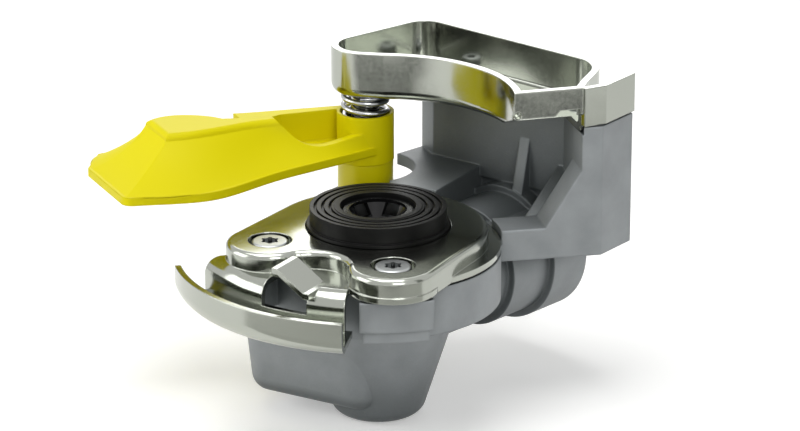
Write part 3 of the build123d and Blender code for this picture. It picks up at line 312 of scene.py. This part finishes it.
def yellow_steel_turning():
    """Steel turning drawn yellow: smoother and deeper in tone than the moulded lid."""
    material, tree, shader, place = new_finish(
        "yellow_steel_turning",
        Base_Color=ink("#d6cb00"),
        Roughness=0.3,
        Specular_IOR_Level=0.3,
    )
    # A faint ripple of the surface, about 1.2 mm
    feed(tree, shader, Normal=relief(tree, place, 1.2, 1.0, 0.1, 0.05, edge_mm=0.4))
    return material


def nitrile_rubber():
    """Moulded nitrile rubber: near black, with a soft sheen and a faint bloom."""
    material, tree, shader, place = new_finish(
        "nitrile_rubber", Roughness=0.4, IOR=1.52, Specular_IOR_Level=0.12
    )
    # The mould's own texture is about 0.1 mm, drawn at 0.4 mm so that it shows.
    feed(
        tree,
        shader,
        Base_Color=mottled(tree, place, 4, 4.0, "#0b0b0b", "#141413", (0.35, 0.75)),
        Normal=relief(tree, place, 0.4, 2.0, 0.12, 0.06, edge_mm=0.25),
    )
    return material


def glossy_acetal():
    """Turned and moulded black acetal: smooth, with a clear shine and faint ripples of 2 mm."""
    material, tree, shader, place = new_finish(
        "glossy_acetal",
        Base_Color=ink("#0b0b0c"),
        Roughness=0.2,
        IOR=1.48,
        Specular_IOR_Level=0.35,
    )
    feed(tree, shader, Normal=relief(tree, place, 2, 1.0, 0.05, 0.1))
    return material


def machined_metal(name, colour, roughness, grain_mm):
    """A bare or plated metal: an even shine that drifts a little, and painted shade in its
    recesses.
    """
    material, tree, shader, place = new_finish(
        name, Base_Color=ink(colour), Metallic=1.0, Roughness=roughness
    )
    drift = 0.15
    smooth, rough = roughness * (1 - drift), roughness * (1 + drift)
    feed(
        tree,
        shader,
        Roughness=uneven(tree, place, grain_mm, 2.0, smooth, rough),
        # Painted shade: near black where the surface is shut in within 1.2 mm, such as the screws'
        # star drives.
        Base_Color=crevice_shade(tree, "#141414", 1.2, plain=colour),
    )
    return material


# Drawn wire: a light, clean grey with a narrow streak of light along each coil.
drawn_spring_steel = machined_metal("drawn_spring_steel", "#b9babb", 0.22, 0.4)
# Zinc plate on turned and pressed steel: a cool grey with blurred highlights.
zinc_plated_screw = machined_metal("zinc_plated_screw", "#adb0b0", 0.3, 0.8)
# Ground and polished steel: nearly a mirror.
ground_steel_pin = machined_metal("ground_steel_pin", "#b3b3ad", 0.1, 1.5)
# Turned brass: warm yellow with blurred highlights.
turned_brass = machined_metal("turned_brass", "#c9a75a", 0.3, 0.5)

FINISHES = {
    die_cast_aluminium(): ["coupling_body"],
    bright_plated_sheet(): ["cover_plate", "claw_tray"],
    moulded_yellow_nylon(): ["lid"],
    yellow_steel_turning(): ["pivot_post"],
    nitrile_rubber(): [
        "seal_ring",
        "carrier_o_ring",
        "seat_o_ring",
        "valve_disc",
        "cover_gasket",
    ],
    glossy_acetal(): ["valve_plunger", "valve_stem", "lid_bush"],
    zinc_plated_screw: [
        "seal_carrier",
        "cover_screws",
        "tray_screws",
        "spring_cup",
        "spring_washer",
    ],
    ground_steel_pin: ["pivot_pin"],
    turned_brass: ["valve_seat"],
    drawn_spring_steel: ["pin_circlip"],
}
for finish, names in FINISHES.items():
    for name in names:
        nodes[name].data.materials.clear()
        nodes[name].data.materials.append(finish)


# Springs


def spring_tree(finish):
    """Geometry Nodes tree of a compression spring with closed end coils."""
    tree = bpy.data.node_groups.new("compression_spring", "GeometryNodeTree")
    for label in ("Coil radius", "Wire radius", "Turns", "Bottom", "Top"):
        tree.interface.new_socket(label, in_out="INPUT", socket_type="NodeSocketFloat")
    tree.interface.new_socket("Axis", in_out="INPUT", socket_type="NodeSocketVector")
    tree.interface.new_socket("Spring", in_out="OUTPUT", socket_type="NodeSocketGeometry")
    given = add_node(tree, "NodeGroupInput").outputs
    spiral = add_node(
        tree,
        "GeometryNodeCurveSpiral",
        {"Resolution": 48, "Height": 0.0},
        {
            "Rotations": given["Turns"],
            "Start Radius": given["Coil radius"],
            "End Radius": given["Coil radius"],
        },
    )
    # The rise is slow at both ends, so that the end coils close.
    along = add_node(tree, "GeometryNodeSplineParameter")
    low = add_node(
        tree,
        "ShaderNodeMath",
        {"operation": "ADD"},
        {0: given["Bottom"], 1: given["Wire radius"]},
    )
    high = add_node(
        tree,
        "ShaderNodeMath",
        {"operation": "SUBTRACT"},
        {0: given["Top"], 1: given["Wire radius"]},
    )
    rise = add_node(
        tree,
        "ShaderNodeMapRange",
        {"interpolation_type": "SMOOTHSTEP"},
        {
            "Value": along.outputs["Factor"],
            "To Min": low.outputs[0],
            "To Max": high.outputs[0],
        },
    )
    lift = add_node(tree, "ShaderNodeCombineXYZ", links={"Z": rise.outputs["Result"]})
    offset = add_node(
        tree,
        "ShaderNodeVectorMath",
        {"operation": "ADD"},
        {0: lift.outputs[0], 1: given["Axis"]},
    )
    path = add_node(
        tree,
        "GeometryNodeSetPosition",
        links={"Geometry": spiral.outputs[0], "Offset": offset.outputs[0]},
    )
    wire = add_node(
        tree,
        "GeometryNodeCurvePrimitiveCircle",
        {"Resolution": 14},
        {"Radius": given["Wire radius"]},
    )
    sweep = add_node(
        tree,
        "GeometryNodeCurveToMesh",
        {"Fill Caps": True},
        {"Curve": path.outputs[0], "Profile Curve": wire.outputs[0]},
    )
    smooth = add_node(tree, "GeometryNodeSetShadeSmooth", links={"Geometry": sweep.outputs[0]})
    whole = add_node(tree, "GeometryNodeRealizeInstances", links={"Geometry": smooth.outputs[0]})
    painted = add_node(
        tree, "GeometryNodeSetMaterial", {"Material": finish}, {"Geometry": whole.outputs[0]}
    )
    add_node(tree, "NodeGroupOutput", links={"Spring": painted.outputs[0]})
    return tree


def grow(name, tree, sizes):
    """A plain mesh piece at the origin from a Geometry Nodes tree and its sizes."""
    seed = bpy.data.objects.new(name + "_seed", bpy.data.meshes.new(name + "_seed"))
    scene.collection.objects.link(seed)
    modifier = seed.modifiers.new("grow", "NODES")
    modifier.node_group = tree
    for item in tree.interface.items_tree:
        if item.in_out == "INPUT":
            modifier[item.identifier] = sizes[item.name]
    bpy.context.view_layer.update()
    evaluated = seed.evaluated_get(bpy.context.evaluated_depsgraph_get())
    mesh = bpy.data.meshes.new_from_object(evaluated)
    bpy.data.objects.remove(seed)
    mesh.name = name
    piece = bpy.data.objects.new(name, mesh)
    scene.collection.objects.link(piece)
    return piece


def add_spring(name, node, wire, turns):
    """A spring in the place of its CAD node, which is hidden, hung on the head's body."""
    low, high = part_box(node)
    middle = (low + high) / 2
    sizes = {
        "Coil radius": (high.x - low.x) / 2 - wire,
        "Wire radius": wire,
        "Turns": turns,
        "Bottom": low.z,
        "Top": high.z,
        "Axis": (middle.x, middle.y, 0.0),
    }
    piece = grow(name, springs, sizes)
    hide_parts(node)
    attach(piece, "head")
    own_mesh(piece)


springs = spring_tree(drawn_spring_steel)
add_spring(
    "lid_spring_coils",
    "lid_spring",
    wire=0.75 * MM,
    turns=4.2,
)
add_spring(
    "valve_spring_coils",
    "valve_spring",
    wire=0.7 * MM,
    turns=6.5,
)


# Studio


def soft_box(name, place, size, power):
    """A square lamp that points at the object."""
    light = bpy.data.lights.new(name, "AREA")
    light.shape = "SQUARE"
    light.size = size
    light.energy = power
    holder = bpy.data.objects.new(name, light)
    holder.location = place
    holder.rotation_euler = Vector(place).to_track_quat("Z", "Y").to_euler()
    scene.collection.objects.link(holder)


def white_where_seen(tree, seen, unseen):
    """Strength for the rays from the camera, off a gloss or through glass, and for the rest."""
    rays = add_node(tree, "ShaderNodeLightPath").outputs
    direct = add_node(
        tree,
        "ShaderNodeMath",
        {"operation": "MAXIMUM"},
        {0: rays["Is Camera Ray"], 1: rays["Is Glossy Ray"]},
    )
    either = add_node(
        tree,
        "ShaderNodeMath",
        {"operation": "MAXIMUM"},
        {0: direct.outputs[0], 1: rays["Is Transmission Ray"]},
    )
    strength = add_node(
        tree,
        "ShaderNodeMapRange",
        {"To Min": unseen, "To Max": seen},
        {"Value": either.outputs[0]},
    )
    return strength.outputs["Result"]


def matt(name, colour, roughness):
    """Plain matt paper or cloth of the studio."""
    tone = bpy.data.materials.new(name)
    tone.use_nodes = True
    shader = tone.node_tree.nodes["Principled BSDF"]
    shader.inputs["Base Color"].default_value = ink(colour)
    shader.inputs["Roughness"].default_value = roughness
    return tone


def stage_sheet(name, tone, corners):
    """A flat sheet of the studio, which is no part of the object."""
    mesh = bpy.data.meshes.new(name)
    mesh.from_pydata(corners, [], [(0, 1, 2, 3)])
    mesh.materials.append(tone)
    flat = bpy.data.objects.new(name, mesh)
    scene.collection.objects.link(flat)
    return flat


# White backdrop, which lights the object far less than it shows
backdrop_white, backdrop_light = 1.0, 0.22
scene.view_settings.view_transform = "Standard"
world = bpy.data.worlds.new("studio")
scene.world = world
world.use_nodes = True
backdrop = world.node_tree.nodes["Background"]
backdrop.inputs["Color"].default_value = ink("#ffffff")
seen_strength = white_where_seen(world.node_tree, backdrop_white, backdrop_light)
world.node_tree.links.new(seen_strength, backdrop.inputs["Strength"])

# White paper floor, just clear of the object, which glows a little where it is seen
floor_reach = 3.0
floor_z = cad_box[0][2] - 0.5 * MM
paper_glow = 0.3
paper = matt("pale_paper", "#f4f4f2", 0.9)
paper_shader = paper.node_tree.nodes["Principled BSDF"]
paper_shader.inputs["Emission Color"].default_value = ink("#ffffff")
glow = white_where_seen(paper.node_tree, paper_glow, 0.0)
feed(paper.node_tree, paper_shader, Emission_Strength=glow)
stage_sheet(
    "floor",
    paper,
    [
        (x * floor_reach, y * floor_reach, floor_z)
        for x, y in ((-1, -1), (1, -1), (1, 1), (-1, 1))
    ],
)

# Lamps: place, side length in metres and power in watts
for name, place, size, power in (
    ("low_left", (-0.8, -0.6, 0.3), 0.75, 4.5),
    ("key_right", (0.75, -0.75, 0.5), 0.5, 4.2),
    ("back_strip", (-0.75, 1.3, 0.55), 0.6, 3.0),
    ("top_soft", (-0.1, -0.1, 1.0), 0.8, 7.5),
):
    soft_box(name, place, size, power)

# Camera at the photograph's viewing angle, with the part's origin at this pixel
azimuth, elevation = radians(30), radians(19.9)
focal_px, distance = 3900.0, 0.993
picture_width, picture_height = 800, 431
origin_px = (378.06, 205.0)
sensor_mm = 36.0
back = Vector((sin(azimuth) * cos(elevation), -cos(azimuth) * cos(elevation), sin(elevation)))
right = Vector((cos(azimuth), sin(azimuth), 0))
up = back.cross(right)
aside = (origin_px[0] - picture_width / 2) * distance / focal_px
above = (picture_height / 2 - origin_px[1]) * distance / focal_px
camera = bpy.data.objects.new("camera", bpy.data.cameras.new("camera"))
camera.data.sensor_width = sensor_mm
camera.data.lens = focal_px / picture_width * sensor_mm
camera.location = back * distance - right * aside - up * above
camera.rotation_euler = back.to_track_quat("Z", "Y").to_euler()
scene.collection.objects.link(camera)
scene.camera = camera

# Cards that show only in the mirrors of the plated sheet: two on the floor in front, for the
# band low on the tray and the rail, and one beside. Their corners are given from the object
# towards the camera, to its right, and above the floor.
card_level = floor_z + 1 * MM
ahead = Vector((back.x, back.y, 0)).normalized()
for name, tone, corners in (
    (
        "front_card",
        matt("dark_flock", "#2c2e2b", 1.0),
        [(0.17, -0.25, 0), (0.17, 0.25, 0), (0.222, 0.25, 0), (0.222, -0.25, 0)],
    ),
    (
        "near_card",
        matt("grey_card", "#d2d3cf", 1.0),
        [(0.06, -0.15, 0), (0.06, 0.25, 0), (0.17, 0.25, 0), (0.17, -0.1, 0)],
    ),
    (
        "side_card",
        matt("side_felt", "#8f918d", 1.0),
        [(0.1, 0.45, 0), (0.25, 0.45, 0), (0.25, 0.45, 0.5), (0.1, 0.45, 0.5)],
    ),
):
    card = stage_sheet(
        name,
        tone,
        [
            ahead * forward + right * sideways + Vector((0, 0, card_level + height))
            for forward, sideways, height in corners
        ],
    )
    card.visible_camera = False
    card.visible_shadow = False
    card.visible_diffuse = False
